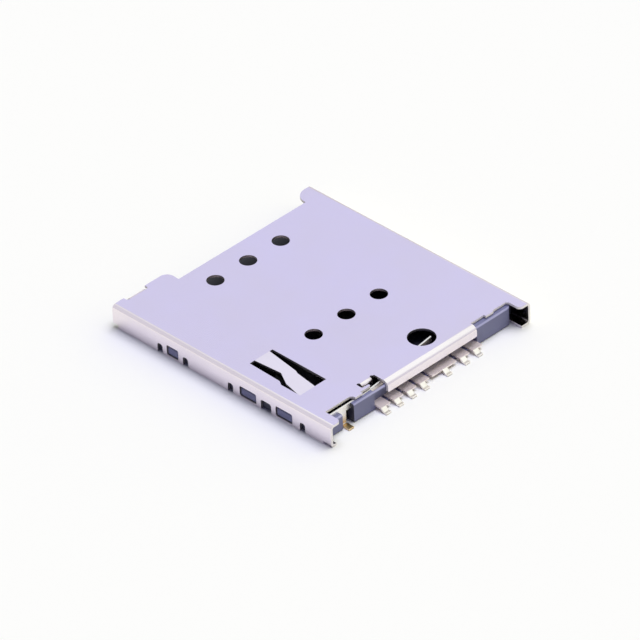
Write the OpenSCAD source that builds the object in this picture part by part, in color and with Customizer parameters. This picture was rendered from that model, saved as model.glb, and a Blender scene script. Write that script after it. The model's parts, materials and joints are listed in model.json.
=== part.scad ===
// Push-push socket for a 15 by 12 mm subscriber card: a stamped steel shell over a moulded
// housing that holds six spring contacts, a card switch and a sprung heart-cam slider.
// The board is the plane z = 0. The card goes in along +Y, and the slider runs beside it at +X.

/* [Card] */
// Width of the card
card_w = 12; // [11.6:0.1:12.6]
// Thickness of the card
card_t = 0.76; // [0.7:0.02:0.9]
// Side play of the card in its channel
card_side_gap = 0.1; // [0.04:0.02:0.2]
// Play over the card under the shell
card_top_gap = 0.09; // [0.05:0.01:0.2]

/* [Shell] */
// Distance from the front edge to the front contact row
mouth_l = 2.55; // [2.3:0.05:3]
// Distance from the rear contact row to the ends of the solder tails
rear_l = 6.83; // [6.4:0.05:7.4]
// Thickness of the sheet
sheet_t = 0.15; // [0.12:0.01:0.18]
// Outside radius of the folds
bend_r = 0.25; // [0.22:0.01:0.3]
// Depth of the finger cut in the front edge
finger_cut = 0.95; // [0.6:0.05:1.4]
// Width of the strip that runs on to the rear over each side wall
wing_w = 0.8; // [0.6:0.05:1]
// Height of the rear flange's lower edge over the board
flange_z = 0.74; // [0.6:0.02:0.9]
// Diameter of the holes over the contacts
probe_d = 1.02; // [0.7:0.01:1.3]
// Diameter of the hole over the card switch
switch_hole_d = 1.63; // [1.2:0.01:1.8]
// Reach of the folded foot at the rear end of the +X wall
foot_reach = 0.38; // [0.34:0.02:0.5]

/* [Housing] */
// Height of the housing's underside over the board
stand_off = 0.05; // [0.02:0.01:0.1]
// Thickness of the floor under the card
floor_t = 0.35; // [0.3:0.01:0.45]
// Width of the rail beside the card
rail_w = 0.28; // [0.2:0.02:0.4]
// Width of the wall between the spring and the shell
outer_wall_w = 0.4; // [0.3:0.02:0.6]
// Thickness of the floor under the slider
slide_floor_t = 0.15; // [0.1:0.01:0.2]
// Distance of the housing's rear face from the ends of the solder tails
rear_set = 0.83; // [0.75:0.01:1]
// Thickness of the rear wall along the card's travel
rear_block_t = 0.47; // [0.45:0.01:0.7]

/* [Contacts] */
// Distance between the contact columns
pitch_x = 2.54; // [2.5:0.01:2.6]
// Distance between the two contact rows
pitch_y = 7.62; // [7.4:0.02:7.8]
// Thickness of the terminal strip
strip_t = 0.1; // [0.08:0.01:0.12]
// Width of each solder tail
tail_w = 0.37; // [0.3:0.01:0.45]
// Width of the plate behind each tail
plate_w = 0.75; // [0.65:0.01:0.8]
// Rise of a free contact's tip over its plate
contact_rise = 0.64; // [0.5:0.02:0.75]
// Width of a contact's spring at its root
spring_w = 0.9; // [0.7:0.05:1]

/* [Slider] */
// Full travel of the slider
travel = 2.6; // [2.2:0.1:2.7]
// Travel past the locked place
over_travel = 0.4; // [0.3:0.05:0.5]
// Length of the slider without its arm
slider_l = 8.2; // [7.4:0.1:9]
// Width of the slider's cam body
cam_w = 1.5; // [1.4:0.05:1.8]
// Thickness of the slider's cam body
cam_t = 0.43; // [0.38:0.01:0.46]
// Depth of the heart groove
groove_depth = 0.3; // [0.2:0.01:0.32]
// Offset of each groove branch from the middle
branch_x = 0.4; // [0.36:0.01:0.44]
// Diameter of the cam pin's wire
pin_d = 0.25; // [0.2:0.01:0.28]
// Outside diameter of the eject spring
coil_d = 0.7; // [0.6:0.02:0.74]
// Diameter of the eject spring's wire
coil_wire_d = 0.1; // [0.08:0.01:0.12]

/* [Hidden] */
$fn = 48;
eps = 0.05;

steel = [0.83, 0.82, 0.87];
slate = [0.33, 0.35, 0.45];
gold = [0.84, 0.75, 0.55];
black = [0.13, 0.13, 0.15];
wire = [0.62, 0.62, 0.65];

// Clearances between the pieces
fit_gap = 0.02;
slide_gap = 0.04;
coil_play = 0.05;
top_gap = 0.04;

// Across the socket, from the -X wall to the +X wall
lane_w = coil_d + 2 * coil_play;
channel_w = card_w + card_side_gap;
slide_w = cam_w + lane_w + 2 * slide_gap;
shell_w = 2 * (sheet_t + fit_gap) + rail_w + channel_w + slide_w + outer_wall_w;
wall_x = shell_w / 2;
inner_x = wall_x - sheet_t;
house_x = inner_x - fit_gap;
card_x0 = -house_x + rail_w;
card_x1 = card_x0 + channel_w;
cam_x0 = card_x1 + slide_gap;
cam_x1 = cam_x0 + cam_w;
lane_x1 = card_x1 + slide_w;
pin_x = (cam_x0 + cam_x1) / 2;
coil_x = cam_x1 + lane_w / 2;
grid_shift = 1.01;
grid_x = (card_x0 + card_x1) / 2 + grid_shift;

// Along the card's travel, from the rear
shell_l = mouth_l + pitch_y + rear_l;
rear_y = shell_l / 2;
front_y = -rear_y;
house_rear_y = rear_y - rear_set;
stop_y = house_rear_y - rear_block_t;
leaf_t = strip_t;
leaf_lip = 0.095;
leaf_y = stop_y + leaf_lip + leaf_t / 2;
row_y = [front_y + mouth_l, rear_y - rear_l];

// Heights over the board
floor_z = stand_off + floor_t;
roof_z = floor_z + card_t + card_top_gap;
shell_h = roof_z + sheet_t;
house_top = roof_z - top_gap;
strip_set = 0.13;
strip_z = stand_off + strip_set;
slide_z = stand_off + slide_floor_t;
slider_z0 = slide_z + slide_gap;
slider_z1 = slider_z0 + cam_t;
pin_z = slider_z1 + slide_gap + pin_d / 2;

// Slider at rest, with the card out
arm_t = 0.35;
arm_gap = 0.05;
arm_y1 = stop_y - arm_gap - travel;
arm_y0 = arm_y1 - arm_t;
neck_w = 0.3;
neck_l = 1;
slider_y1 = arm_y1 - neck_l;
slider_y0 = slider_y1 - slider_l;
shoulder_l = 3.6;
seat_y = slider_y0 + shoulder_l;
coil_z = slider_z0 + coil_d / 2;
peg_l = 0.7;

// Cam pin: a staple whose rear leg turns in the housing and whose front leg follows the groove
pin_elbow = pin_d;
groove_gap = 0.06;
groove_w = pin_d + 2 * groove_gap;
groove_step = 0.04;
groove_draft = 0.02;
follow_set = 0.45;
follow_y = slider_y1 - follow_set;
boss_wall = 0.2;
boss_r = pin_d / 2 + boss_wall;
pivot_y = slider_y1 + travel + boss_r + slide_gap;
leg_gap = 0.03;
boss_top = pin_z - pin_elbow - leg_gap;

// Solder tails from the contact grid's middle, front row first, then rear row, then the switch
tail_x = [[3.7, 1.7, -3.45], [2.7, 0.7, -2.45]];
switch_tail_x = -1.05;
switch_plate_w = 1.9;
tail_l = 0.44;
tail_foot = 0.15;
shoulder_y = rear_y - tail_l;
ledge_left = 4;
ledge_right = 3.95;
ledge_x0 = grid_x - ledge_left;
ledge_x1 = grid_x + ledge_right;

// Contact springs along the card's travel, from the tip's row
root_l = 2;
root_flat = 0.15;
crown_l = 0.3;
crown_drop = 0.05;
brow_l = 0.25;
brow_drop = 0.13;
nose_l = 0.62;
tip_w = 0.54;
cross_l = 0.5;
runner_w = 0.5;
plate_l = 3.4;
plate_y = shoulder_y - plate_l;
window_gap = 0.12;

// Moulding of the housing: mouth, rear corner, ledge and lintel at the plates, and room for the leaf's leg
front_set = 0.35;
lead = 0.12;
corner_set = 0.62;
corner_r = 0.3;
block_chamfer = 0.08;
ledge_set = 0.35;
ledge_y = house_rear_y - ledge_set;
lintel_h = 0.16;
lintel_t = 0.1;
flange_bar_t = 0.2;
side_drop = 0.21;
leg_room = 0.32;
leg_play = 0.13;
leg_wall_t = 0.14;
leg_wall_set = 0.18;

// Card switch: a leaf on edge, its leg and foot, and the fixed terminal's upright
leaf_h = 0.36;
leaf_top_gap = 0.03;
leaf_top = roof_z - leaf_top_gap;
leaf_end = 0.8;
leaf_x1 = inner_x - leaf_end;
leaf_bends = [[4.4, 0], [3, 0.14], [-0.74, 0.85], [-1.75, 0.98]];
leaf_points = [for (b = leaf_bends) [grid_x + b[0], leaf_y - b[1]]];
leaf_tip = leaf_points[len(leaf_points) - 1];
leg_set = 1.94;
leg_x = wall_x - leg_set;
leg_w = 0.4;
leg_fillet = 0.12;
leg_foot = 0.6;
upright_w = 0.75;
upright_gap = 0.3;
upright_h = 0.75;
upright_x = grid_x + switch_tail_x - switch_plate_w / 2;
upright_y = leaf_tip[1] + upright_gap;

// Cut-outs of the side walls as middle and width, from the rear end
right_windows = [[12.32, 0.9], [6.48, 1.27], [3.72, 1.27]];
right_notches = [
    [13.3, 0.4, 0.58], [11.32, 0.4, 0.58], [7.83, 0.4, 0.58], [5.1, 0.8, 0.64], [2.32, 0.4, 0.58]
];
left_windows = [[12.32, 1.27], [3.72, 1.27]];
left_notches = [[13.4, 0.4, 0.58], [11.24, 0.4, 0.58], [4.8, 0.4, 0.58], [2.64, 0.4, 0.58]];
window_z = [0.12, 0.76];
window_r = 0.1;
notch_r = 0.16;
boss_gap = 0.08;
boss_set = 0.05;
boss_ramp = 0.1;

// Rear ends of the side walls, with a longer foot at the -X wall, and the housing's corner beside it
wall_end_set = 0.14;
wall_rear_y = rear_y - wall_end_set;
wing_end_r = 0.28;
right_foot_y = house_rear_y + 2 * slide_gap;
left_foot_set = 0.54;
left_foot_y = house_rear_y - left_foot_set;
left_foot_more = 0.32;
foot_room = 0.07;
corner_x = foot_reach + left_foot_more + foot_room - wall_x;

// Folded flange and ear at the rear edge, and the finger behind the ear
flange_x = [-3.9, 3.02];
flange_root = 1.3;
flange_set = 0.7;
flange_r = 0.08;
flange_bend_r = 0.35;
flange_gap = 0.05;
flange_room = 0.1;
flange_in_y = rear_y - flange_set - sheet_t;
flange_end = grid_x + flange_x[1] + flange_gap;
ear_x = [3.31, 4.11];
ear_set = 1.58;
ear_z = 0.92;
ear_bend_r = 0.2;
ear_slot = [1.38, 1.76];
finger_x = 3.83;
finger_set = 1.205;
finger_r = 0.08;

// Steps of the top plate's rear edge as two places from the grid's middle and a distance from the rear end
rear_steps = [
    [4.62, 5.17, 1.05], [finger_x, 4.62, finger_set], [flange_x[1], finger_x, ear_slot[1]],
    [flange_x[0], flange_x[1], 1.1], [-4.95, flange_x[0], 1.18], [-5.56, -4.95, 1.03]
];
right_step = 1.34;
right_step_r = 0.25;
left_step = 1.12;
left_step_r = 0.2;
switch_hole_x = 1.2;
switch_hole_set = 2.26;
relief_w = 0.2;
relief_l = 0.09;
lip_relief_l = 0.18;

// Arm of the slider, which the card's leading edge pushes, clear of the folded ear
arm_x0 = grid_x + ear_x[1] + 3 * slide_gap;
arm_top_gap = 0.15;
arm_top = roof_z - arm_top_gap;

// Front edge of the top plate, from the side walls
mouth_x = [1.4, 4.19];
mouth_r = [0.85, 0.5];
lip_x = [1, 2.4];
lip_set = 0.06;
lip_z = 0.5;
toe_l = 0.38;
toe_z = 0.25;
left_wall_set = 0.2;

// Hold-down tongue over the cam pin, from the pin's line and the slot's front end
tongue_slot_l = 4.11;
tongue_set = 7.51;
tongue_slot_y = rear_y - tongue_set;
tongue_slot_right = [[-0.8, tongue_slot_l], [-0.8, 0]];
tongue_slot_left = [[0.94, 0], [1.01, 2.37], [1.2, 2.67], [1.2, tongue_slot_l]];
tongue_root = 0.3;
tongue_l = 4.27;
tongue_right = [[-0.58, -tongue_root], [-0.58, 0], [-0.38, 2.22], [-0.29, 2.42], [-0.13, tongue_l]];
tongue_left = [[1.09, tongue_l], [0.93, 3.41], [0.79, 2.64], [0.32, 1.77], [0.57, 0], [0.57, -tongue_root]];
tongue_gap = 0.02;
tongue_dip = roof_z - (pin_z + pin_d / 2 + tongue_gap);

// A box between two corners
module block(low, high) {
    translate(low) cube(high - low);
}

// An outline in y and z, drawn out along X from x0 to x1
module along_x(x0, x1) {
    translate([x0, 0, 0]) rotate([90, 0, 90]) linear_extrude(x1 - x0) children();
}

// An outline in x and z, drawn out along Y from y0 to y1
module along_y(y0, y1) {
    translate([0, y1, 0]) rotate([90, 0, 0]) linear_extrude(y1 - y0) children();
}

// An outline in x and y, drawn up from z0 to z1
module along_z(z0, z1) {
    translate([0, 0, z0]) linear_extrude(z1 - z0) children();
}

// A flat bar with round ends between two points
module bar(a, b, w) {
    span = b - a;
    translate(a) rotate(atan2(span[1], span[0])) {
        translate([0, -w / 2]) square([norm(span), w]);
        circle(d = w);
        translate([norm(span), 0]) circle(d = w);
    }
}

// A bent strip of one thickness through a row of points
module ribbon(points, w) {
    for (i = [0 : len(points) - 2]) bar(points[i], points[i + 1], w);
}

// A rectangle with round corners between two corners
module round_rect(low, high, r) {
    size = high - low;
    translate(low) {
        translate([r, 0]) square([size[0] - 2 * r, size[1]]);
        translate([0, r]) square([size[0], size[1] - 2 * r]);
        for (x = [r, size[0] - r], y = [r, size[1] - r]) translate([x, y]) circle(r);
    }
}

// What is cut off a corner to leave it round, with side giving the way to the corner in x and y
module corner_cut(corner, r, side) {
    translate(corner) difference() {
        translate([side[0] > 0 ? -r : -eps, side[1] > 0 ? -r : -eps]) square(r + eps);
        translate([-side[0] * r, -side[1] * r]) circle(r);
    }
}

// A quarter of a bent sheet's section of outside radius r, from the +X side of its middle up to its top
module bend(r) {
    intersection() {
        difference() {
            circle(r);
            circle(r - sheet_t);
        }
        square(r);
    }
}

// Section of the shell across the socket: the top plate and both walls
module shell_section() {
    flat_x = wall_x - bend_r;
    translate([-flat_x, roof_z]) square([2 * flat_x, sheet_t]);
    for (side = [0, 1]) mirror([side, 0]) {
        translate([flat_x, shell_h - bend_r]) bend(bend_r);
        translate([inner_x, 0]) square([sheet_t, shell_h - bend_r]);
    }
}

// A tab folded down from the top plate: face is its outer side, root is where it leaves the plate, and r
// is the fold's outside radius
module fold_down(x0, x1, root, face, low, r, tip_r) {
    intersection() {
        along_x(x0, x1) {
            translate([root, roof_z]) square([face - r - root, sheet_t]);
            translate([face - r, shell_h - r]) bend(r);
            translate([face - sheet_t, low]) square([sheet_t, shell_h - r - low]);
        }
        along_y(root, face) round_rect([x0, low], [x1, shell_h + tip_r], tip_r);
    }
}

// Cut-outs of the top plate's front edge
module front_cuts() {
    x0 = -wall_x + mouth_x[0];
    x1 = wall_x - mouth_x[1];
    translate([x0, front_y - eps]) square([x1 - x0, finger_cut + eps]);
    corner_cut([x0, front_y], mouth_r[0], [1, -1]);
    corner_cut([x1, front_y], mouth_r[1], [-1, -1]);
    for (x = lip_x) bar([wall_x - x, front_y], [wall_x - x, front_y + lip_relief_l], relief_w);
    translate([wall_x - lip_x[1], front_y - eps]) square([lip_x[1] - lip_x[0], lip_set + bend_r + eps]);
}

// Cut-outs of the top plate's rear edge
module rear_cuts() {
    wing_x = wall_x - wing_w;
    step_right = grid_x + rear_steps[0][1];
    step_left = grid_x + rear_steps[len(rear_steps) - 1][0];
    difference() {
        translate([step_right, rear_y - right_step]) square([wing_x - step_right, right_step + eps]);
        corner_cut([step_right, rear_y - right_step], right_step_r, [-1, -1]);
    }
    for (s = rear_steps)
        translate([grid_x + s[0], rear_y - s[2]]) square([s[1] - s[0], s[2] + eps]);
    difference() {
        translate([-wing_x, rear_y - left_step]) square([step_left + wing_x, left_step + eps]);
        corner_cut([-wing_x, rear_y - left_step], left_step_r, [-1, -1]);
    }
    corner_cut([wing_x, wall_rear_y], wing_end_r, [-1, 1]);
    corner_cut([-wing_x, wall_rear_y], wing_end_r, [1, 1]);
    corner_cut([grid_x + finger_x, rear_y - finger_set], finger_r, [-1, 1]);
    corner_cut([grid_x + finger_x, rear_y - ear_slot[0]], finger_r, [-1, -1]);
    translate([grid_x + flange_x[1], rear_y - ear_slot[1]])
        square([ear_x[1] - flange_x[1], ear_slot[1] - ear_slot[0]]);
    for (x = [ear_x[0] - relief_w / 2, ear_x[1] + relief_w / 2])
        bar([grid_x + x, rear_y - ear_slot[0] - relief_w / 2],
            [grid_x + x, rear_y - ear_slot[1] - relief_l + relief_w / 2], relief_w);
}

// The slot that leaves the hold-down tongue free
module tongue_slot() {
    translate([pin_x, tongue_slot_y]) polygon(concat(tongue_slot_right, tongue_slot_left));
}

// Holes over the contacts and over the card switch
module top_holes() {
    for (k = [-1 : 1], y = row_y) translate([grid_x + k * pitch_x, y]) circle(d = probe_d);
    translate([grid_x - switch_hole_x, rear_y - switch_hole_set]) circle(d = switch_hole_d);
}

// Windows and open notches of a side wall
module wall_cuts(windows, notches) {
    for (w = windows)
        round_rect([rear_y - w[0] - w[1] / 2, window_z[0]],
            [rear_y - w[0] + w[1] / 2, window_z[1]], window_r);
    for (n = notches)
        round_rect([rear_y - n[0] - n[1] / 2, -shell_h], [rear_y - n[0] + n[1] / 2, n[2]], notch_r);
}

// The hold-down tongue, sloping from its root to just over the cam pin
module tongue() {
    intersection() {
        along_z(roof_z - tongue_dip - eps, shell_h)
            translate([pin_x, tongue_slot_y]) polygon(concat(tongue_right, tongue_left));
        along_x(card_x1, inner_x) translate([tongue_slot_y, roof_z]) polygon([
            [-tongue_root, 0], [0, 0], [tongue_l, -tongue_dip], [tongue_l, sheet_t - tongue_dip],
            [0, sheet_t], [-tongue_root, sheet_t]
        ]);
    }
}

// The inward fold at the foot of a side wall's rear end, from y0 on
module foot(reach, y0) {
    along_y(y0, wall_rear_y) {
        translate([wall_x - bend_r, bend_r]) mirror([0, 1]) bend(bend_r);
        translate([wall_x - reach, 0]) square([reach - bend_r, sheet_t]);
    }
}

module shell() {
    color(steel) {
        difference() {
            along_y(front_y, wall_rear_y) shell_section();
            along_z(roof_z - eps, shell_h + eps) {
                front_cuts();
                rear_cuts();
                tongue_slot();
                top_holes();
            }
            along_x(inner_x - eps, wall_x + eps) {
                wall_cuts(right_windows, right_notches);
                translate([front_y - eps, -eps]) square([toe_l + eps, toe_z + eps]);
            }
            along_x(-wall_x - eps, -inner_x + eps) {
                wall_cuts(left_windows, left_notches);
                translate([front_y - eps, -eps]) square([left_wall_set + eps, shell_h - bend_r + eps]);
            }
            block([inner_x - eps, right_foot_y, -eps], [wall_x + eps, rear_y, bend_r]);
            block([-wall_x - eps, left_foot_y, -eps], [-inner_x + eps, rear_y, bend_r]);
        }
        foot(foot_reach, right_foot_y);
        mirror([1, 0, 0]) foot(foot_reach + left_foot_more, left_foot_y);
        tongue();
        fold_down(grid_x + flange_x[0], grid_x + flange_x[1], rear_y - flange_root, rear_y - flange_set,
            flange_z, flange_bend_r, flange_r);
        fold_down(grid_x + ear_x[0], grid_x + ear_x[1], rear_y - ear_slot[1] - eps, rear_y - ear_set,
            ear_z, ear_bend_r, ear_bend_r / 2);
        mirror([0, 1, 0])
            fold_down(wall_x - lip_x[1] + relief_w / 2, wall_x - lip_x[0] - relief_w / 2,
                rear_y - lip_set - bend_r - eps, rear_y - lip_set, lip_z, bend_r, bend_r / 2);
    }
}

// The flat part of a contact, in its own strip: plate, runner and the cross piece at the spring's root
module contact_flat(row, col) {
    right = grid_x + tail_x[row][col] + tail_w / 2;
    middle = right - plate_w / 2;
    spring_x = grid_x + (1 - col) * pitch_x;
    root_y = row_y[row] + root_l;
    translate([right - plate_w, plate_y]) square([plate_w, shoulder_y - plate_y]);
    translate([middle - runner_w / 2, root_y]) square([runner_w, plate_y - root_y]);
    x0 = min(spring_x - spring_w / 2, middle - runner_w / 2);
    x1 = max(spring_x + spring_w / 2, middle + runner_w / 2);
    translate([x0, root_y]) square([x1 - x0, cross_l]);
}

// A solder tail that leaves its plate level and slopes to the board
module tail(x) {
    mid = strip_z + strip_t / 2;
    along_x(x - tail_w / 2, x + tail_w / 2) {
        ribbon([
            [shoulder_y - eps * 2, mid], [shoulder_y, mid], [rear_y - tail_foot - strip_t / 2, strip_t / 2],
            [rear_y - strip_t / 2, strip_t / 2]
        ], strip_t);
    }
}

// One spring contact: row 0 is at the mouth, and column 0 is beside the slider
module contact(row, col) {
    mid = strip_z + strip_t / 2;
    crown = mid + contact_rise - strip_t / 2;
    y = row_y[row];
    spring_x = grid_x + (1 - col) * pitch_x;
    color(gold) {
        along_z(strip_z, strip_z + strip_t) contact_flat(row, col);
        tail(grid_x + tail_x[row][col]);
        intersection() {
            along_x(spring_x - spring_w / 2, spring_x + spring_w / 2) ribbon([
                [y + root_l + strip_t, mid], [y + root_l - root_flat, mid], [y + crown_l, crown - crown_drop],
                [y, crown], [y - brow_l, crown - brow_drop], [y - nose_l, mid]
            ], strip_t);
            along_z(0, roof_z) polygon([
                [spring_x - spring_w / 2, y + root_l + cross_l], [spring_x - tip_w / 2, y - nose_l - strip_t],
                [spring_x + tip_w / 2, y - nose_l - strip_t], [spring_x + spring_w / 2, y + root_l + cross_l]
            ]);
        }
    }
}

// The leaf's bent outline seen from above
module leaf_plan() {
    ribbon(concat([[leaf_x1, leaf_y]], leaf_points), leaf_t);
}

// The leaf's leg seen from behind, with a filleted shoulder under the strip
module leg_outline() {
    low = leaf_top - leaf_h;
    translate([leg_x - leg_w / 2, 0]) square([leg_w, leaf_top]);
    translate([leg_x + leg_w / 2 + leg_fillet, low - leg_fillet]) difference() {
        translate([-leg_fillet, 0]) square([leg_fillet, leg_fillet + eps]);
        circle(leg_fillet);
    }
}

module switch_leaf() {
    color(gold) {
        along_z(leaf_top - leaf_h, leaf_top) leaf_plan();
        intersection() {
            along_y(leaf_y - leaf_t / 2, leaf_y + leg_foot + leaf_t) leg_outline();
            along_x(leg_x - leg_w, leg_x + leg_w) ribbon([
                [leaf_y, leaf_top - leaf_h / 2], [leaf_y, leaf_t], [leaf_y + leaf_t / 2, leaf_t / 2],
                [leaf_y + leg_foot, leaf_t / 2]
            ], leaf_t);
        }
    }
}

// The fixed switch terminal's plate
module switch_plate() {
    translate([upright_x, upright_y]) square([switch_plate_w, shoulder_y - upright_y]);
}

module switch_terminal() {
    mid = strip_z + strip_t / 2;
    front = upright_y + strip_t / 2;
    color(gold) {
        along_z(strip_z, strip_z + strip_t) switch_plate();
        tail(grid_x + switch_tail_x);
        along_x(upright_x, upright_x + upright_w)
            ribbon([[front + strip_t, mid], [front, mid], [front, mid + upright_h - strip_t]], strip_t);
    }
}

// Bosses of the +X side that snap into the shell's windows, ramped where the shell slides down over them
module wall_bosses(windows) {
    tip_x = wall_x - boss_set;
    low = window_z[0] + boss_gap;
    high = window_z[1] - boss_gap;
    for (w = windows) {
        middle = rear_y - w[0];
        half = w[1] / 2 - boss_gap;
        along_y(middle - half, middle + half) polygon([
            [house_x - eps, low], [tip_x, low], [tip_x, high - boss_ramp], [house_x, high],
            [house_x - eps, high]
        ]);
    }
}

// A bar of the housing across the socket, its upper rear edge chamfered
module rear_bar(x0, x1, y0, top, chamfer) {
    along_x(x0, x1) polygon([
        [y0, stand_off], [house_rear_y, stand_off], [house_rear_y, top - chamfer],
        [house_rear_y - chamfer, top], [y0, top]
    ]);
}

// The moulding before anything is let into it
module housing_body() {
    front = front_y + front_set;
    slide_front = front_y + lip_set + sheet_t + fit_gap;
    block_x1 = leg_x - leg_w / 2 - leg_room;
    side_x0 = leg_x + leg_w / 2 + leg_play;
    low_top = leaf_top - leaf_h - fit_gap;
    rail_y = house_rear_y - corner_set;
    leg_wall_y = stop_y - leg_wall_set;
    along_x(-house_x, card_x1) polygon([
        [front, stand_off], [rail_y, stand_off], [rail_y, floor_z], [front + lead, floor_z],
        [front, floor_z - lead]
    ]);
    along_z(stand_off, house_top) {
        polygon([
            [-house_x, front], [card_x0 - lead, front], [card_x0, front + lead * 3], [card_x0, rail_y],
            [-house_x, rail_y]
        ]);
        polygon([
            [card_x1 + lead, slide_front], [house_x, slide_front], [house_x, slider_y0 - slide_gap],
            [card_x1, slider_y0 - slide_gap], [card_x1, slide_front + lead * 3]
        ]);
    }
    block([card_x1 - eps, slider_y0 - eps * 2, stand_off], [house_x, stop_y, slide_z]);
    block([lane_x1, slider_y0 - eps * 2, stand_off], [house_x, stop_y, house_top]);
    block([corner_x, rail_y - eps, stand_off], [card_x1, stop_y + eps, floor_z]);
    block([block_x1 - eps, leg_wall_y - leg_wall_t, stand_off], [side_x0 + eps, leg_wall_y, low_top]);
    rear_bar(corner_x, ledge_x0, stop_y, house_top, block_chamfer);
    rear_bar(ledge_x0 - eps, block_x1, leaf_y + leaf_t / 2, house_top, block_chamfer);
    rear_bar(ledge_x0 - eps, block_x1, stop_y, low_top, 0);
    rear_bar(side_x0, house_x, stop_y, house_top - side_drop, block_chamfer);
    translate([pin_x, pivot_y, stand_off]) cylinder(r = boss_r, h = boss_top - stand_off);
    wall_bosses(right_windows);
    mirror([1, 0, 0]) wall_bosses(left_windows);
}

module housing() {
    color(slate) difference() {
        housing_body();
        for (row = [0, 1], col = [0 : 2]) {
            spring_x = grid_x + (1 - col) * pitch_x;
            half = spring_w / 2 + window_gap;
            along_z(strip_z, strip_z + strip_t) contact_flat(row, col);
            block(
                [spring_x - half, row_y[row] - nose_l - window_gap, -eps],
                [spring_x + half, row_y[row] + root_l, floor_z + eps]
            );
        }
        along_z(strip_z, strip_z + strip_t) switch_plate();
        block([upright_x, upright_y, strip_z], [upright_x + upright_w, upright_y + strip_t, roof_z]);
        block([ledge_x0, ledge_y, strip_z], [ledge_x1, house_rear_y + eps, house_top - lintel_h]);
        block([ledge_x0, ledge_y, strip_z], [ledge_x1, house_rear_y - flange_bar_t, roof_z]);
        block([flange_end, ledge_y, strip_z], [ledge_x1, house_rear_y - lintel_t, roof_z]);
        block([grid_x + flange_x[0] - flange_gap, min(flange_in_y - flange_room, house_rear_y), strip_z],
            [flange_end, house_rear_y + eps, roof_z]);
        along_z(0, roof_z) corner_cut([corner_x, house_rear_y], corner_r, [-1, 1]);
        along_z(leaf_top - leaf_h, roof_z + eps) leaf_plan();
        translate([pin_x, pivot_y, slide_z]) cylinder(d = pin_d + 2 * fit_gap, h = roof_z);
    }
}

// One level of the heart groove, cut down from the slider's top
module groove_level(points, step) {
    along_z(slider_z1 - groove_depth + (2 - step) * groove_step, slider_z1 + eps)
        ribbon(points, groove_w - step * groove_draft);
}

// The heart groove: out along +X, round the heart's notch and back along -X, a step lower at each turn
module heart_groove() {
    right = [branch_x, -travel];
    left = [-branch_x, -travel];
    lock = [0, over_travel - travel - pin_d / 2];
    groove_level([[0, follow_set], [0, 0], right], 0);
    groove_level([right, lock], 1);
    groove_level([lock, left, [0, 0]], 2);
}

module slider() {
    color(black) {
        difference() {
            block([cam_x0, slider_y0, slider_z0], [cam_x1, slider_y1, slider_z1]);
            translate([pin_x, follow_y, 0]) heart_groove();
        }
        block([cam_x1 - eps, slider_y0, slider_z0], [cam_x1 + lane_w, seat_y, slider_z0 + coil_d]);
        block([cam_x0, slider_y1 - eps, slider_z0], [cam_x0 + neck_w, arm_y1, slider_z1]);
        block([arm_x0, arm_y0, floor_z + slide_gap], [cam_x0 + neck_w, arm_y1, slider_z1]);
        block([arm_x0, arm_y0, floor_z + slide_gap], [card_x1 - slide_gap, arm_y1, arm_top]);
        translate([coil_x, seat_y - eps, coil_z]) rotate([-90, 0, 0])
            cylinder(d = coil_d - 2 * coil_wire_d - 2 * coil_play, h = peg_l + eps);
    }
}

// A quarter bend of the pin's wire between two legs in the plane of y and z
module pin_bend(y, turn) {
    translate([pin_x, y, pin_z - pin_elbow]) rotate([90, 0, 90]) rotate(turn)
        rotate_extrude(angle = 90) translate([pin_elbow, 0]) circle(d = pin_d);
}

module cam_pin() {
    straight = pivot_y - follow_y - 2 * pin_elbow;
    knee = pin_z - pin_elbow;
    follow_low = slider_z1 - groove_depth + 2 * groove_step + leg_gap;
    pivot_low = slide_z + leg_gap;
    color(wire) {
        translate([pin_x, follow_y + pin_elbow, pin_z]) rotate([-90, 0, 0]) cylinder(d = pin_d, h = straight);
        pin_bend(pivot_y - pin_elbow, 0);
        pin_bend(follow_y + pin_elbow, 90);
        translate([pin_x, pivot_y, pivot_low]) cylinder(d = pin_d, h = knee - pivot_low);
        translate([pin_x, follow_y, follow_low]) cylinder(d = pin_d, h = knee - follow_low);
    }
}

// Eject spring: a coil with closed ends, swept as rings of points along its helix
coil_turns = 15;
coil_steps = 14;
coil_sides = 6;
coil_l = stop_y - seat_y;
coil_r = (coil_d - coil_wire_d) / 2;

// Height of the wire's middle after a number of turns
function coil_at(turn) =
    let(open = coil_turns - 2, pitch = (coil_l - 3 * coil_wire_d) / open)
    coil_wire_d / 2 + coil_wire_d * (min(turn, 1) + max(turn - 1 - open, 0))
        + pitch * min(max(turn - 1, 0), open);

// One point of the wire's skin
function coil_point(i, j) =
    let(turn = i / coil_steps, a = 360 * turn, b = 360 * j / coil_sides, wire_r = coil_wire_d / 2)
    let(r = coil_r + wire_r * cos(b))
    [r * cos(a), r * sin(a), coil_at(turn) + wire_r * sin(b)];

module eject_spring() {
    rings = coil_turns * coil_steps;
    points = [for (i = [0 : rings], j = [0 : coil_sides - 1]) coil_point(i, j)];
    sides = [
        for (i = [0 : rings - 1], j = [0 : coil_sides - 1]) let(a = i * coil_sides, k = (j + 1) % coil_sides)
            [a + j, a + k, a + coil_sides + k, a + coil_sides + j]
    ];
    first = [for (j = [coil_sides - 1 : -1 : 0]) j];
    last = [for (j = [0 : coil_sides - 1]) rings * coil_sides + j];
    color(wire) translate([coil_x, seat_y, coil_z]) rotate([-90, 0, 0])
        polyhedron(points, concat([first], sides, [last]));
}

shell();
housing();
contact(0, 0);  // contact_c1
contact(0, 1);  // contact_c2
contact(0, 2);  // contact_c3
contact(1, 0);  // contact_c5
contact(1, 1);  // contact_c6
contact(1, 2);  // contact_c7
switch_leaf();
switch_terminal();
slider();
cam_pin();
eject_spring();
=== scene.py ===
import json
from math import cos, pi, radians, sin

import bmesh
import bpy
from mathutils import Matrix, Quaternion, Vector


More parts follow.
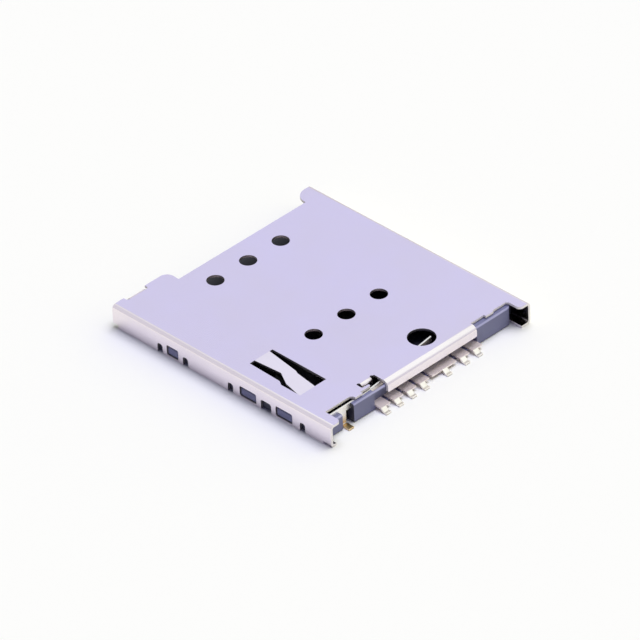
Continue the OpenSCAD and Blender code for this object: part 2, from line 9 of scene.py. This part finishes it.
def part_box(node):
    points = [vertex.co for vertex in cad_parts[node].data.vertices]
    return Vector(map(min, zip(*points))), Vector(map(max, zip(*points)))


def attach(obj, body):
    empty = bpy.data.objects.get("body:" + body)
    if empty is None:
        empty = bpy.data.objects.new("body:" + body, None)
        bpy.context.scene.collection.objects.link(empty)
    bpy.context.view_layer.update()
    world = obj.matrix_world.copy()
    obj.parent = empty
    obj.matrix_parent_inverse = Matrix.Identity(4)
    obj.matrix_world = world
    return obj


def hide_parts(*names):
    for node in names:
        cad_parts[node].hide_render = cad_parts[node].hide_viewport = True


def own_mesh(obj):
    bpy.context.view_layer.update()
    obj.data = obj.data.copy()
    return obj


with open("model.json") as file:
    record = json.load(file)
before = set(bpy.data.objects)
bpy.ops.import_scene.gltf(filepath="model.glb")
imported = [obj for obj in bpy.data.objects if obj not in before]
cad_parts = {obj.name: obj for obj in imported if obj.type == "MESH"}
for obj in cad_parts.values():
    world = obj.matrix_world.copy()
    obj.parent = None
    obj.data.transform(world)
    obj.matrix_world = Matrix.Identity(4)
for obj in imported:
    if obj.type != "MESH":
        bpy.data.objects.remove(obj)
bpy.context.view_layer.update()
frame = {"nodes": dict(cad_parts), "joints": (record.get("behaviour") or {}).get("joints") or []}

# Housing: one moulded base of slate-grey glass-filled plastic. It carries the contacts in its
# floor, stops the card at the rear, and its bosses snap into the windows of the shell's walls.
MM = 0.001
FLAT_TURN = radians(1)
EDGE_TURN = radians(40)
RIM_TURN = radians(10)
WELD_REACH = 0.002
SLIVER_WIDTH = 0.001
ROUND_SEGMENTS = 2
housing_edge = 0.02
slate = (0.162, 0.164, 0.300, 1)
slate_worn = (0.235, 0.238, 0.395, 1)
# Painted highlight: a paler slate for the plastic's rounded edges.
slate_edge_highlight = (0.30, 0.29, 0.46, 1)
# Painted highlight: faces that lean up towards the rear, such as the block's top chamfer, are paler as if lit from
# above.
chamfer_highlight = (0.50, 0.49, 0.72, 1)
# Painted shade: a near-black for the plastic inside the shell's walls and beside the leaf's leg, where the shell
# and leg shade it.
slate_shade = (0.022, 0.022, 0.030, 1)
chamfer_way = Vector((0, 1, 1)).normalized()
fibre_pale = (0.42, 0.43, 0.52, 1)
fibre_draw = (1, 0.16, 1)
fibre_grain = 0.05
slate_grain = 0.035
slate_relief = 0.003
# Where the painted shade lies, in mm: inside the walls in front of the rear block, and a strip beside the leaf's
# leg.
wall_shade_x = (7.66, 7.62)
wall_shade_y = (7.25, 7.15)
leg_gap_shade_x = ((5.26, 5.285), (6.12, 6.1))


def welded(node):
    """A solid as a bmesh in mm, welded, with its flat faces joined."""
    bm = bmesh.new()
    bm.from_mesh(frame["nodes"][node].data)
    bm.faces.layers.float.new("rim")
    bmesh.ops.scale(bm, vec=(1 / MM,) * 3, verts=bm.verts)
    bmesh.ops.remove_doubles(bm, verts=bm.verts, dist=WELD_REACH)
    bmesh.ops.dissolve_limit(bm, angle_limit=FLAT_TURN, verts=bm.verts, edges=bm.edges, delimit=set())
    return bm


def sliver(face):
    """Whether a face is too thin to be seen or to have a sound normal."""
    return face.calc_area() < SLIVER_WIDTH * face.calc_perimeter()


def rounded_off(bm, edges, width, segments):
    """Rounds edges by width, in mm, and marks the new faces as rims where they lean off every axis."""
    faces = bmesh.ops.bevel(
        bm, geom=edges, offset=width, offset_type="OFFSET", segments=segments, profile=0.5,
        affect="EDGES", clamp_overlap=True, material=-1,
    )["faces"]
    bm.normal_update()
    rim = bm.faces.layers.float["rim"]
    for face in faces:
        leans = max(abs(part) for part in face.normal) < cos(RIM_TURN)
        face[rim] = float(leans and not sliver(face))


def softened(node, width):
    """A welded solid with all its sharp edges rounded by width, in mm."""
    bm = welded(node)
    sharp = [edge for edge in bm.edges if edge.is_manifold and edge.calc_face_angle() > EDGE_TURN]
    rounded_off(bm, sharp, width, ROUND_SEGMENTS)
    return bm


def finished(bm, name, look, body, slot, *nodes):
    """Turns a bmesh in mm into a piece with its material, which rides on a body and stands for nodes.

    Faces square to the axes stay flat, and bends and rounded edges are smooth.
    """
    bmesh.ops.scale(bm, vec=(MM,) * 3, verts=bm.verts)
    bm.normal_update()
    for face in bm.faces:
        face.smooth = max(abs(part) for part in face.normal) < cos(FLAT_TURN)
    mesh = bpy.data.meshes.new(name)
    bm.to_mesh(mesh)
    bm.free()
    mesh.materials.append(look)
    piece = bpy.data.objects.new(name, mesh)
    bpy.context.scene.collection.objects.link(piece)
    even = piece.modifiers.new("flat_faces", "WEIGHTED_NORMAL")
    even.mode = "FACE_AREA"
    even.weight = 100
    even.keep_sharp = True
    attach(piece, body)
    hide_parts(*nodes)
    return piece


class Shade:
    """A socket of a material's node tree. Sums on it add Math nodes, and node() adds any other."""

    def __init__(self, tree, end=None):
        self.tree = tree
        self.end = end

    def node(self, kind, settings=None, sockets=None, output=0):
        made = self.tree.nodes.new(kind)
        for name, value in (settings or {}).items():
            setattr(made, name, value)
        for name, value in (sockets or {}).items():
            if isinstance(value, Shade):
                self.tree.links.new(value.end, made.inputs[name])
            else:
                made.inputs[name].default_value = value
        return Shade(self.tree, made.outputs[output] if made.outputs else None)

    def sum(self, operation, first, second=0.0):
        return self.node("ShaderNodeMath", {"operation": operation}, {0: first, 1: second})

    def __add__(self, other):
        return self.sum("ADD", self, other)

    def __radd__(self, other):
        return self.sum("ADD", other, self)

    def __sub__(self, other):
        return self.sum("SUBTRACT", self, other)

    def __rsub__(self, other):
        return self.sum("SUBTRACT", other, self)

    def __mul__(self, other):
        return self.sum("MULTIPLY", self, other)

    def __rmul__(self, other):
        return self.sum("MULTIPLY", other, self)

    def noise(self, place, grain, detail=3.0, roughness=0.5):
        """Noise with features about grain mm across."""
        sockets = {"Vector": place, "Scale": 1 / (grain * MM), "Detail": detail, "Roughness": roughness}
        return self.node("ShaderNodeTexNoise", {}, sockets)

    def stretched(self, place, stretch):
        return self.node("ShaderNodeMapping", {}, {"Vector": place, "Scale": stretch})

    def between(self, low, high):
        """This value taken from the range low to high onto 0 to 1."""
        sockets = {"Value": self, "From Min": low, "From Max": high}
        return self.node("ShaderNodeMapRange", {}, sockets)

    def mixed(self, first, second):
        """First colour where this value is 0, second where it is 1."""
        return self.node("ShaderNodeMix", {"data_type": "RGBA"}, {0: self, 6: first, 7: second}, 2)

    def mark(self, name):
        """The value that each face carries under a name."""
        return self.node("ShaderNodeAttribute", {"attribute_name": name}, output="Fac")

    def towards(self, vector, way):
        """How far a vector points one way."""
        return self.node("ShaderNodeVectorMath", {"operation": "DOT_PRODUCT"}, {0: vector, 1: way}, "Value")

    def along(self, place, axis, start, end):
        """0 to 1 from a start to an end on one axis, both in mm."""
        return self.node("ShaderNodeSeparateXYZ", {}, {"Vector": place}, axis).between(start * MM, end * MM)

    def bump(self, height, depth):
        """A normal bent by height, whose full range is depth mm."""
        sockets = {"Height": height, "Strength": 1.0, "Distance": depth * MM}
        return self.node("ShaderNodeBump", {}, sockets)


def new_look(name):
    """An empty material: it, its tree and the place on the piece."""
    look = bpy.data.materials.new(name)
    look.use_nodes = True
    look.node_tree.nodes.clear()
    tree = Shade(look.node_tree)
    return look, tree, tree.node("ShaderNodeTexCoord", output="Object")


def surfaced(tree, sockets):
    shader = tree.node("ShaderNodeBsdfPrincipled", {}, sockets)
    tree.node("ShaderNodeOutputMaterial", {}, {"Surface": shader})


def moulded_slate():
    look, tree, place = new_look("housing_plastic")
    cloud = tree.noise(place, 1.6, 4.0).between(0.3, 0.7)
    grain = tree.noise(place, slate_grain, 2.0)
    fibre = tree.noise(tree.stretched(place, fibre_draw), fibre_grain, 1.0).between(0.72, 0.78)
    matt = (fibre * 0.5).mixed((cloud * 0.6).mixed(slate, slate_worn), fibre_pale)
    normal = tree.node("ShaderNodeNewGeometry", output="Normal")
    # Painted highlight on faces that lean up towards the rear.
    chamfer = tree.towards(normal, chamfer_way).between(0.94, 0.985)
    # Painted highlight on the rounded edges.
    edge_highlighted = (tree.mark("rim") * 0.6).mixed(matt, slate_edge_highlight)
    lit = (chamfer * 0.75).mixed(edge_highlighted, chamfer_highlight)
    # Painted shade: inside the walls and beside the leaf's leg, the plastic is darkened towards near-black.
    outer, inner = wall_shade_x
    wall_shade = tree.along(place, "X", outer, inner) * tree.along(place, "X", -outer, -inner)
    leg_gap_shade = tree.along(place, "X", *leg_gap_shade_x[0]) * tree.along(place, "X", *leg_gap_shade_x[1])
    painted_shade = wall_shade * tree.along(place, "Y", *wall_shade_y) + leg_gap_shade
    surfaced(tree, {
        "Base Color": (painted_shade * 0.85).mixed(lit, slate_shade),
        "Roughness": 0.46 + 0.14 * cloud,
        "Specular IOR Level": 0.5,
        "Normal": tree.bump(grain, slate_relief),
    })
    return look


finished(
    softened("housing", housing_edge), "moulded_base", moulded_slate(), "base", "housing_plastic", "housing",
)

# Contacts: six strips of spring bronze with a pale gold flash, stamped and bent from one band.
# Their plates lie in the housing's floor, and their tails come out at the rear and slope to the board.
strip_edge = 0.025
pale_gold = (0.97, 0.91, 0.86, 1)
deep_gold = (0.88, 0.81, 0.68, 1)
# Painted highlight: a near-white gold for the strips' rounded rims.
gold_rim_highlight = (0.99, 0.95, 0.90, 1)
plate_matt = (0.90, 0.79, 0.80, 1)
plate_span = (8.09, 8.03)
plate_more_matt = 0.36
drawn_along = (1, 0.06, 1)
drawn_grain = 0.03
drawn_relief = 0.001


def gold_flash(name, light, dark, axis, span, finish, matt):
    """A flash of two tones that gives way to another finish along an axis, matt by that much more."""
    look, tree, place = new_look(name)
    cloud = tree.noise(place, 0.5, 3.0).between(0.35, 0.7)
    draw = tree.noise(tree.stretched(place, drawn_along), drawn_grain, 2.0)
    bare = tree.along(place, axis, *span)
    flash = (cloud * 0.5).mixed(light, dark)
    surfaced(tree, {
        # Painted highlight: the rounded rims take a near-white gold.
        "Base Color": tree.mark("rim").mixed(bare.mixed(flash, finish), gold_rim_highlight),
        "Metallic": 1.0 - bare * matt,
        "Roughness": 0.36 + 0.08 * cloud + bare * matt,
        "Normal": tree.bump(draw, drawn_relief),
    })
    return look


tail_gold = gold_flash("contact_gold", pale_gold, deep_gold, "Y", plate_span, plate_matt, plate_more_matt)
for number in (1, 2, 3, 5, 6, 7):
    node = f"contact_c{number}"
    finished(softened(node, strip_edge), f"spring_contact_{number}", tail_gold, "base", "contact_gold", node)

# Card switch: a fixed terminal beside the contacts, and a springy leaf on edge behind the card stop.
# Both are cut from the same gold-flashed strip; the leaf's leg ends in a solder foot of its own.
leaf_silver = (0.95, 0.93, 0.90, 1)
leaf_cream = (0.92, 0.87, 0.76, 1)
foot_gold = (0.76, 0.56, 0.31, 1)
leaf_span = (0.8, 0.2)
leaf_gold = gold_flash("leaf_gold", leaf_silver, leaf_cream, "Z", leaf_span, foot_gold, 0.0)
finished(
    softened("switch_terminal", strip_edge), "fixed_switch_terminal", tail_gold,
    "base", "contact_gold", "switch_terminal",
)
finished(
    softened("switch_leaf", strip_edge), "springy_switch_leaf", leaf_gold, "base", "contact_gold", "switch_leaf",
)

# Slider: a black moulding with the heart-shaped groove in its top, which the card's edge pushes.
# It runs on the housing's floor between the card channel and the outer wall.
slider_edge = 0.03
black = (0.010, 0.010, 0.012, 1)
black_worn = (0.022, 0.022, 0.026, 1)
black_grain = 0.04
black_relief = 0.003


def moulded_black():
    look, tree, place = new_look("slider_plastic")
    cloud = tree.noise(place, 1.2, 3.0).between(0.3, 0.7)
    surfaced(tree, {
        "Base Color": cloud.mixed(black, black_worn),
        "Roughness": 0.4 + 0.15 * cloud,
        "Specular IOR Level": 0.25,
        "Normal": tree.bump(tree.noise(place, black_grain, 2.0), black_relief),
    })
    return look


finished(
    softened("slider", slider_edge), "heart_cam_slider", moulded_black(), "slider", "slider_plastic", "slider",
)

# Eject spring: a coil of drawn stainless wire with closed ends, between the slider's shoulder and
# the housing's rear wall. The real one shortens along its own length as the slider goes in; this coil keeps one
# length.
wire_d = 0.1
coil_turns = 15
turn_steps = 32
wire_sides = 10
wire_dull = (0.50, 0.50, 0.52, 1)
wire_bright = (0.66, 0.66, 0.68, 1)
wire_grain = 0.02
wire_relief = 0.001
low, high = [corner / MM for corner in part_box("eject_spring")]
coil_r = (high.x - low.x - wire_d) / 2
coil_axis = Vector((0, 1, 0))
coil_start = Vector(((low.x + high.x) / 2, low.y + wire_d / 2, (low.z + high.z) / 2))
open_rise = (high.y - low.y - 3 * wire_d) / (coil_turns - 2)


def drawn_wire():
    look, tree, place = new_look("wire_steel")
    cloud = tree.noise(place, 0.3, 3.0).between(0.3, 0.7)
    surfaced(tree, {
        "Base Color": cloud.mixed(wire_dull, wire_bright),
        "Metallic": 1.0,
        "Roughness": 0.22 + 0.12 * cloud,
        "Normal": tree.bump(tree.noise(place, wire_grain, 2.0), wire_relief),
    })
    return look


wire_steel = drawn_wire()
bm = bmesh.new()
place = Matrix.Translation(coil_start + Vector((coil_r, 0, 0)))
ring = bmesh.ops.create_circle(bm, cap_ends=True, segments=wire_sides, radius=wire_d / 2, matrix=place)["verts"]
front = [*ring, *bm.edges, *bm.faces]
for turns, rise in ((1, wire_d), (coil_turns - 2, open_rise), (1, wire_d)):
    front = bmesh.ops.spin(
        bm, geom=front, cent=coil_start, axis=coil_axis, dvec=coil_axis * rise / turn_steps,
        angle=turns * 2 * pi, steps=turns * turn_steps, use_merge=False, use_duplicate=False,
    )["geom_last"]
bmesh.ops.recalc_face_normals(bm, faces=bm.faces)
spring = finished(bm, "eject_coil", wire_steel, "base", "wire_steel", "eject_spring")
travel = next(j["range_m"][1] for j in frame["joints"] if j["name"] == "slider_slide")
1 - travel / MM / (high.y - low.y)
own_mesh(spring)

# Cam pin: a staple of the same wire. Its rear leg turns in the housing's boss, and its front leg
# follows the heart groove under the shell's tongue.
pin_edge = 0.02
finished(softened("cam_pin", pin_edge), "cam_pin_wire", wire_steel, "cam_pin", "wire_steel", "cam_pin")

# Shell: one stainless sheet, stamped, pierced and folded down at the sides, rear and front, with a
# satin rolled face. Painted highlights whiten its rims, painted shade darkens its pierced edges and its inner
# side, and painted light makes its cut edges at the rear paler.
# It snaps over the housing and holds the card down.
stamped_edge = 0.05
stamped_segments = 3
burr_edge = 0.02
burr_segments = 1
SKIN_TURN = radians(10)
steel = (0.90, 0.83, 0.85, 1)
steel_dull = (0.86, 0.79, 0.81, 1)
# Painted highlight: a near-white steel for the rolled and rounded rims.
steel_rim_highlight = (0.99, 0.97, 0.98, 1)
# Painted shade: a dark steel for the pierced cut faces. Painted light: a pale, less metallic steel for the cut
# faces at the rear.
steel_cut_shade = (0.48, 0.45, 0.46, 1)
steel_cut_lit = (0.95, 0.90, 0.92, 1)
# Painted shade: a dark steel for the sheet's inner side.
steel_inside_shade = (0.20, 0.18, 0.18, 1)
lit_cut_y = (6.95, 7.05)
rolled_along = (1, 0.05, 1)
rolled_grain = 0.04
pit_grain = 0.06
rolled_relief = 0.0012
wave_length = 4.0
wave_relief = 0.012


def side_of(bm, way):
    """The largest level face of a sheet, seen from above or below."""
    return max(bm.faces, key=lambda face: face.calc_area() * (face.normal.z * way > cos(FLAT_TURN)))


def skin_from(first):
    """The faces of a sheet's side that lead smoothly on from a first one."""
    found = {first}
    ahead = [first]
    while ahead:
        for edge in ahead.pop().edges:
            for other in edge.link_faces:
                if other not in found and edge.calc_face_angle(pi) < SKIN_TURN:
                    found.add(other)
                    ahead.append(other)
    return found


def stamped_sheet():
    """The sheet with its outer edges rolled over, its cut-through faces marked as cut and its inner side as
    inside.
    """
    bm = welded("shell")
    cut = bm.faces.layers.float.new("cut")
    inside = bm.faces.layers.float.new("inside")
    rim = bm.faces.layers.float["rim"]
    outer = skin_from(side_of(bm, 1))
    border = [edge for edge in bm.edges if len(outer.intersection(edge.link_faces)) == 1]
    rounded_off(bm, border, stamped_edge, stamped_segments)
    sharp = [edge for edge in bm.edges if edge.is_manifold and edge.calc_face_angle() > EDGE_TURN]
    rounded_off(bm, sharp, burr_edge, burr_segments)
    outer = skin_from(side_of(bm, 1))
    inner = skin_from(side_of(bm, -1))
    for face in bm.faces:
        face[inside] = float(face in inner)
        face[cut] = float(face not in inner and face not in outer and not face[rim] and not sliver(face))
    return bm


def satin_sheet():
    look, tree, place = new_look("shell_steel")
    cloud = tree.noise(place, 3.0, 4.0).between(0.3, 0.7)
    rolled = tree.noise(tree.stretched(place, rolled_along), rolled_grain, 3.0)
    pits = tree.noise(place, pit_grain, 2.0)
    waved = tree.bump(tree.noise(place, wave_length, 1.0), wave_relief)
    fine = tree.node("ShaderNodeBump", {}, {
        "Height": rolled * 0.5 + pits * 0.5, "Strength": 1.0, "Distance": rolled_relief * MM, "Normal": waved,
    })
    cut = tree.mark("cut")
    # Painted light: the cut faces at the rear are paler than the painted-shade ones elsewhere.
    lit_cut = tree.along(place, "Y", *lit_cut_y)
    # Painted shade: the inner side of the sheet is darkened.
    face = tree.mark("inside").mixed(cloud.mixed(steel, steel_dull), steel_inside_shade)
    # Painted highlight: the rims take a near-white steel.
    rim = tree.mark("rim")
    surfaced(tree, {
        "Base Color": rim.mixed(cut.mixed(face, lit_cut.mixed(steel_cut_shade, steel_cut_lit)), steel_rim_highlight),
        "Metallic": 1.0 - 0.8 * cut * lit_cut,
        "Roughness": 0.19 + 0.03 * cloud + 0.03 * rolled + 0.25 * cut + 0.1 * rim,
        "Normal": fine,
    })
    return look


finished(stamped_sheet(), "folded_shell", satin_sheet(), "base", "shell_steel", "shell")

# Studio: a white sweep in a pale grey tent with a white card overhead, a cool panel on the far side,
# which the top plate mirrors, and a dark one for the far fold. A soft lamp hangs high over the object.
floor_white = (0.97, 0.97, 0.97, 1)
floor_fibre = (0.965, 0.965, 0.965, 1)
floor_grain = 0.5
floor_half = 1.5
floor_drop = 0.002
backdrop_white = (0.985, 0.985, 0.985, 1)
tent_grey = (0.75, 0.75, 0.83, 1)
tent_panels = (
    ((-0.50, 0.08, 0.86), (30, 52), (1.1, 1.16, 1.14, 1)),
    ((-0.56, -0.59, 0.58), (4, 9), (0.64, 0.65, 1.02, 1)),
    ((-0.80, -0.59, 0.10), (8, 16), (0.52, 0.50, 0.55, 1)),
)
tent_light = (0.36, 0.36, 0.36, 1)
tent_dim = (0.05, 0.05, 0.12, 1)
dim_side = Vector((0.94, 0.34, 0))
dim_span = (-0.05, 0.45)
tent_warm = (0.95, 0.95, 0.25, 1)
warm_side = Vector((-1, 0, 0))
warm_span = (0.2, 0.8)
lamp_from = Vector((-0.24, 0, 0.97))
lamp_colour = (0.86, 0.86, 1.0)
lamp_power = 2.45
lamp_spread = radians(46)


def white_card():
    look, tree, place = new_look("floor_card")
    grain = tree.noise(place, floor_grain, 2.0)
    paper = tree.node("ShaderNodeBsdfDiffuse", {}, {"Color": grain.mixed(floor_white, floor_fibre)})
    below = tree.node("ShaderNodeNewGeometry", output="Backfacing")
    clear = tree.node("ShaderNodeBsdfTransparent")
    sheet = tree.node("ShaderNodeMixShader", {}, {0: below, 1: paper, 2: clear})
    tree.node("ShaderNodeOutputMaterial", {}, {"Surface": sheet})
    return look


bm = bmesh.new()
bmesh.ops.create_grid(bm, x_segments=1, y_segments=1, size=floor_half)
bmesh.ops.translate(bm, vec=(0, 0, -floor_drop * MM), verts=bm.verts)
mesh = bpy.data.meshes.new("floor")
bm.to_mesh(mesh)
bm.free()
mesh.materials.append(white_card())
floor = bpy.data.objects.new("floor", mesh)
bpy.context.scene.collection.objects.link(floor)

world = bpy.data.worlds.new("light_tent")
bpy.context.scene.world = world
world.use_nodes = True
world.node_tree.nodes.clear()
tent = Shade(world.node_tree)
away = tent.node("ShaderNodeTexCoord", output="Generated")
wall = tent_grey
for way, (full, gone), colour in tent_panels:
    facing = tent.towards(away, Vector(way).normalized())
    wall = facing.between(cos(radians(gone)), cos(radians(full))).mixed(wall, colour)
ambient = tent.towards(away, dim_side).between(*dim_span).mixed(tent_light, tent_dim)
ambient = tent.towards(away, warm_side).between(*warm_span).mixed(ambient, tent_warm)
seen = tent.node("ShaderNodeLightPath", output="Is Camera Ray")
direct = 1.0 - tent.node("ShaderNodeLightPath", output="Diffuse Depth").between(0.0, 1.0)
shown = direct * (
    seen + tent.node("ShaderNodeLightPath", output="Is Glossy Ray")
    + tent.node("ShaderNodeLightPath", output="Is Transmission Ray")
)
backdrop = seen.mixed(wall, backdrop_white)
glow = tent.node("ShaderNodeBackground", {}, {"Color": shown.mixed(ambient, backdrop), "Strength": 1.0})
tent.node("ShaderNodeOutputWorld", {}, {"Surface": glow})

lamp = bpy.data.lights.new("soft_lamp", "SUN")
lamp.energy = lamp_power
lamp.color = lamp_colour
lamp.angle = lamp_spread
lamp_stand = bpy.data.objects.new("soft_lamp", lamp)
lamp_stand.rotation_mode = "QUATERNION"
lamp_stand.rotation_quaternion = lamp_from.to_track_quat("Z", "Y")
lamp_stand.visible_glossy = False
bpy.context.scene.collection.objects.link(lamp_stand)

# Camera: a long lens from the rear corner, looking down on the slider's side and the solder tails.
camera_aim = Vector((-0.2108, -0.405, 0.0185)) * MM
camera_azimuth = radians(136.31)
camera_height = radians(35.59)
camera_roll = radians(-2.61)
camera_distance = 435 * MM
camera_sensor = 36
camera_lens = 446
camera_back = Vector((
    sin(camera_azimuth) * cos(camera_height), -cos(camera_azimuth) * cos(camera_height), sin(camera_height),
))
lens = bpy.data.cameras.new("camera")
lens.sensor_width = camera_sensor
lens.lens = camera_lens
camera = bpy.data.objects.new("camera", lens)
camera.rotation_mode = "QUATERNION"
camera.rotation_quaternion = camera_back.to_track_quat("Z", "Y") @ Quaternion((0, 0, 1), camera_roll)
camera.location = camera_aim + camera_back * camera_distance
bpy.context.scene.collection.objects.link(camera)
bpy.context.scene.camera = camera
bpy.context.scene.view_settings.view_transform = "Standard"
